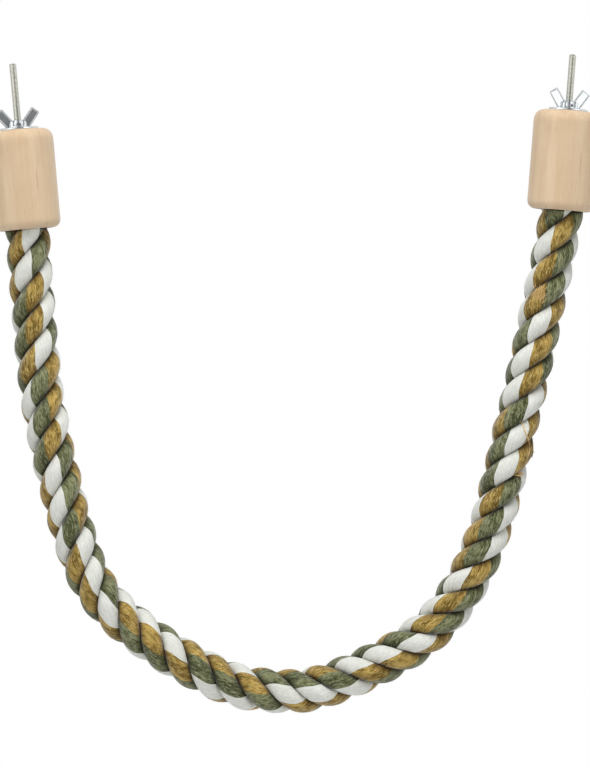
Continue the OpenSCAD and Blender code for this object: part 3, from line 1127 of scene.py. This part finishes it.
def cotton_colour(nodes, across, open_air, number, noises):
    """The yarns' colour: patches, light and dark fibres and specks, shade in the grooves, pale loose yarns.
    The mix of fibres that it makes is given too, for the yarns' relief."""
    fibres, mottle, specks, patches = noises

    def thirds(colours):
        """The first colour on the green yarns, the second on the white ones and the last on the mustard."""
        return nodes.ramp(across, [(i / COLOURS, colour) for i, colour in enumerate(colours)], "CONSTANT")

    fleck = nodes.mean(fibres, mottle)
    colour = nodes.mix(nodes.greys(patches, low=0.41, high=0.59), thirds(COTTON), thirds(COTTON_PATCH))
    colour = nodes.mix(nodes.greys(fleck, low=0.50, high=0.63), colour, thirds(COTTON_LIGHT))
    colour = nodes.mix(nodes.greys(fleck, low=0.37, high=0.49, first=1, last=0), colour, thirds(COTTON_DARK))
    colour = nodes.mix(nodes.greys(specks, low=0.66, high=0.72, last=0.7), colour, thirds(COTTON_SPECK))
    chance = nodes.add("ShaderNodeTexWhiteNoise", {"W": number}, noise_dimensions="1D")
    own_shade = nodes.greys(chance, low=0, high=1, first=0.38, last=0.62)
    colour = nodes.mix(OWN_SHADE, colour, own_shade, "OVERLAY")
    # Painted shade: the yarns darken deep in the grooves between the strands, the white ones less
    deep = nodes.mix(1.0, nodes.ramp(open_air, GROOVE_SHADE), thirds(GROOVE_SHARE), "MULTIPLY")
    colour = nodes.mix(deep, colour, thirds(COTTON_GROOVE_SHADE))
    is_pale = nodes.maths("GREATER_THAN", open_air, PALE_FROM)
    pale = nodes.times(is_pale, nodes.minus(open_air, 1.0))
    return nodes.mix(pale, colour, thirds(COTTON_LOOSE)), fleck


def cotton_material():
    """Soft cotton yarns in three colours. The yarns attribute holds the way round a strand and along it. The
    open_air attribute holds how far a point stands out of the grooves, or over PALE_FROM how pale it is."""
    material, nodes, output = new_material("rope_cotton")
    yarns = nodes.attribute("yarns", "Vector")
    open_air = nodes.attribute("open_air", "Fac")
    across, along, _ = nodes.parts(yarns)
    yarn_count = nodes.times(across, FINE_YARNS)
    number = nodes.maths("FLOOR", yarn_count)
    place = nodes.vector(nodes.times(across, STRAND_GIRTH), along, nodes.times(number, FINE_YARN_APART))

    def cloud(scale, squeeze, detail):
        """Noise on the strand's surface, drawn out along it."""
        return nodes.noise(place, scale, detail, roughness=0.6, squeeze=(1, squeeze, 1), lean=YARN_LEAN)

    fibres = cloud(scale=1600, squeeze=0.16, detail=3)
    mottle = cloud(scale=850, squeeze=0.5, detail=2)
    specks = cloud(scale=2600, squeeze=0.7, detail=1)
    patches = nodes.mean(cloud(scale=190, squeeze=0.6, detail=1), cloud(scale=60, squeeze=0.5, detail=1))
    noises = fibres, mottle, specks, patches
    colour, fleck = cotton_colour(nodes, across, open_air, number, noises)

    round_yarn = nodes.maths("SINE", nodes.times(nodes.maths("FRACT", yarn_count), math.pi))
    height = nodes.plus(nodes.times(round_yarn, YARN_RISE), nodes.times(fleck, FIBRE_RISE))
    relief = nodes.times(nodes.maths("LESS_THAN", open_air, PALE_FROM), COTTON_RELIEF)
    nodes.surface(output, {
        "Base Color": colour,
        "Roughness": 0.62,
        "Sheen Weight": 0.5,
        "Sheen Roughness": 0.35,
        "Specular IOR Level": 0.1,
    }, height, strength=relief, distance=0.0003)
    return material


def year_rings(nodes, block, heart):
    """The late wood of a tree's year rings, 0 to 1, where its heart lies beside the block's axis."""
    wobble = nodes.noise(block, scale=45, detail=2, squeeze=(1, 1, 0.25), out="Color")
    centred = nodes.vectors("SUBTRACT", wobble, (0.5, 0.5, 0.5))
    waver = nodes.add("ShaderNodeVectorMath", {0: centred, "Scale": RING_WAVER}, operation="SCALE")
    from_heart = nodes.vectors("SUBTRACT", nodes.vectors("ADD", block, waver), (*heart, 0))
    radius = nodes.vectors("LENGTH", nodes.vectors("MULTIPLY", from_heart, (1, 1, RING_TILT)), out="Value")
    return nodes.ramp(nodes.maths("FRACT", nodes.times(radius, YEAR_RINGS)), LATE_WOOD)


def wood_material(name, end):
    """Sanded pale hardwood with its grain along the block: faint bands, short dark pores, year rings."""
    material, nodes, output = new_material(name)
    block = nodes.add("ShaderNodeMapping", {
        "Vector": nodes.add("ShaderNodeTexCoord", out="Object"),
        "Location": (end["face"][0], 0, end["face"][1]),
        "Rotation": (0, math.radians(end["lean"]), 0),
    }, vector_type="TEXTURE")

    def grain(scale, squeeze, detail):
        """Noise drawn out along the block."""
        return nodes.noise(block, scale, detail, roughness=0.6, squeeze=(1, 1, squeeze))

    streaks = grain(scale=900, squeeze=0.045, detail=4)
    patch = nodes.noise(block, scale=60, detail=2)
    late = nodes.times(year_rings(nodes, block, end["heart"]), LATE_SHARE)
    pores = nodes.greys(grain(scale=1900, squeeze=0.06, detail=1), low=0.71, high=0.80, last=0.4)
    cracks = nodes.greys(grain(scale=420, squeeze=0.035, detail=1), low=0.715, high=0.76, last=0.55)
    marks = nodes.maths("MAXIMUM", pores, cracks)
    colour = nodes.ramp(grain(scale=150, squeeze=0.05, detail=2), WOOD_BANDS)
    colour = nodes.mix(nodes.greys(streaks, low=0.35, high=0.6, first=0.45, last=0), colour, WOOD_STREAK)
    colour = nodes.mix(late, colour, WOOD_LATE)
    colour = nodes.mix(nodes.greys(patch, low=0.4, high=0.7, last=0.35), colour, WOOD_PATCH)
    colour = nodes.mix(marks, colour, WOOD_PORE)

    height = nodes.minus(nodes.times(streaks, STREAK_RISE), nodes.times(marks, MARK_DEPTH))
    nodes.surface(output, {
        "Base Color": colour,
        "Roughness": nodes.greys(streaks, low=0.2, high=0.8, first=0.5, last=0.62),
        "Specular IOR Level": 0.35,
        "Sheen Weight": 0.35,
        "Sheen Roughness": 0.4,
    }, height, strength=0.25, distance=0.0001)
    return material


def metal_material(name, shade, dull, roughness, hollow_shade):
    """Plated steel: faintly cloudy plating, painted shade in its grooves, windows and creases, and fine
    relief.
    """
    material, nodes, output = new_material(name)
    place = nodes.add("ShaderNodeTexCoord", out="Object")
    cloud = nodes.noise(place, scale=500, detail=4, roughness=0.6)
    grain = nodes.noise(place, scale=3500, detail=2)
    groove = nodes.attribute("groove", "Fac")
    # Painted shade: darker in the hollow creases of the bent skin, by its pointiness
    bent = nodes.add("ShaderNodeNewGeometry", out="Pointiness")
    crease_shade = nodes.greys(bent, low=0.42, high=0.49, first=0.75)
    colour = nodes.ramp(cloud, [(0.3, dull), (0.7, shade)])
    # Painted shade: darker deep in the stud's thread valleys and in the nut's windows
    colour = nodes.mix(nodes.times(groove, hollow_shade), colour, METAL_HOLLOW_SHADE)
    colour = nodes.mix(1.0, colour, crease_shade, "MULTIPLY")
    rough = nodes.greys(cloud, low=0.25, high=0.75, first=roughness + DULL_ROUGHER, last=roughness)
    looks = {"Base Color": colour, "Metallic": 1.0, "Roughness": rough}
    nodes.surface(output, looks, height=grain, strength=0.15, distance=0.00005)
    return material


def studio_floor():
    """A wide pale floor that glows a little where the camera sees it."""
    material, nodes, output = new_material("studio_floor")
    seen = nodes.add("ShaderNodeLightPath", out="Is Camera Ray")
    diffuse = nodes.add("ShaderNodeBsdfDiffuse", {"Color": grey(FLOOR_SHADE)})
    glow = nodes.add("ShaderNodeEmission", {
        "Color": grey(1.0), "Strength": nodes.times(seen, FLOOR_GLOW),
    })
    nodes.tree.links.new(nodes.add("ShaderNodeAddShader", {0: diffuse, 1: glow}), output)
    corners = [(x * FLOOR_R, y * FLOOR_R, FLOOR_Z) for x, y in ((-1, -1), (1, -1), (1, 1), (-1, 1))]
    floor = mesh_piece("studio_floor", corners, [(0, 1, 2, 3)])
    floor.data.materials.append(material)


def studio_world():
    """A white room all round, white to the camera and dimmer as a light, with dark places for metal only."""
    world = bpy.data.worlds.new("studio")
    bpy.context.scene.world = world
    world.use_nodes = True
    world.node_tree.nodes.clear()
    sky = Nodes(world.node_tree)
    ray = world.node_tree.nodes.new("ShaderNodeLightPath").outputs
    across, away, up = sky.parts(sky.add("ShaderNodeTexCoord", out="Generated"))

    def fade(value, start, end, first=0.0, last=1.0, shape="LINEAR"):
        """A share that goes from first to last between two places."""
        inputs = {0: value, 1: start, 2: end, 3: first, 4: last}
        return sky.add("ShaderNodeMapRange", inputs, interpolation_type=shape)

    gap_x = sky.over(sky.minus(across, GAP_MIDDLE), GAP_ACROSS)
    gap_z = sky.over(up, GAP_UP)
    squares = sky.plus(sky.times(gap_x, gap_x), sky.times(gap_z, gap_z))
    gap = fade(sky.maths("SQRT", squares), 1.0, GAP_FADE, 1.0, 0.0, "SMOOTHSTEP")
    gap = sky.times(gap, fade(away, *GAP_AWAY, 1.0, 0.0))
    corner = sky.times(fade(across, *CORNER_ACROSS), fade(up, *CORNER_UP))
    corner = sky.times(corner, fade(away, *CORNER_AWAY))
    dark = sky.maths("MAXIMUM", gap, sky.times(corner, CORNER_DARKNESS))
    room = sky.mix(dark, grey(1.0), DARK_SHADE)
    lit = sky.mix(ray["Is Glossy Ray"], grey(WORLD_LIGHT), room)
    seen = sky.maths("MAXIMUM", ray["Is Camera Ray"], ray["Is Transmission Ray"])
    background = sky.add("ShaderNodeBackground", {
        "Color": grey(1.0), "Strength": sky.mix(seen, lit, grey(1.0)),
    })
    output = world.node_tree.nodes.new("ShaderNodeOutputWorld")
    world.node_tree.links.new(background, output.inputs["Surface"])


def studio_lamps():
    """Soft square lamps that aim at the perch."""
    for name, place, watts, width, mirrored in LAMPS:
        lamp = bpy.data.lights.new(name, "AREA")
        lamp.energy, lamp.size = watts, width
        holder = bpy.data.objects.new(name, lamp)
        holder.location = place
        holder.visible_glossy = mirrored
        x, y, z = np.array(LAMP_AIM) - np.array(place)
        holder.rotation_euler = (math.atan2(math.hypot(x, y), -z), 0, math.atan2(y, x) - math.pi / 2)
        bpy.context.scene.collection.objects.link(holder)


def add_camera():
    """The camera that sees the perch as the photograph does."""
    data = bpy.data.cameras.new("camera")
    data.sensor_width = SENSOR
    data.lens = SENSOR * -CAMERA_PLACE[1] / PICTURE_HEIGHT
    data.clip_end = SIGHT_END
    camera = bpy.data.objects.new("camera", data)
    camera.location, camera.rotation_euler = CAMERA_PLACE, (math.pi / 2, 0, 0)
    bpy.context.scene.collection.objects.link(camera)
    bpy.context.scene.camera = camera


def add_rope():
    """The rope, its fuzz and its loose yarn, which all move with the perch."""
    cotton = cotton_material()
    rope, rope_line = rope_strands()
    fuzz = rope_fuzz(rope, cotton)
    loose = loose_yarns(rope)
    finish_piece(rope, "rope", "perch", cotton)
    finish_piece(fuzz, None, "perch", cotton)
    finish_piece(loose, None, "perch", cotton)


def add_ends():
    """The block, stud, washer and nut of each end."""
    metals = {name: metal_material(name, **look) for name, look in METALS.items()}
    stud_steel, zinc = metals["stud_steel"], metals["zinc_plate"]
    stud_nodes = stud_tree()
    for side, end in ENDS.items():
        wood = wood_material(side + "_wood", end)
        finish_piece(end_block(side + "_turned_block", end), side + "_block", "perch", wood)
        stud = threaded_stud(side + "_threaded_stud", end, stud_nodes, stud_steel)
        finish_piece(stud, side + "_stud", "perch", stud_steel)
        disc = washer(side + "_flat_washer", end)
        finish_piece(disc, side + "_washer", side + "_washer_body", zinc)
        nut = wing_nut(side + "_pressed_nut", end)
        finish_piece(nut, side + "_wing_nut", side + "_nut_body", zinc)


add_camera()
add_rope()
add_ends()
studio_floor()
studio_world()
studio_lamps()
bpy.context.scene.view_settings.view_transform = "Standard"
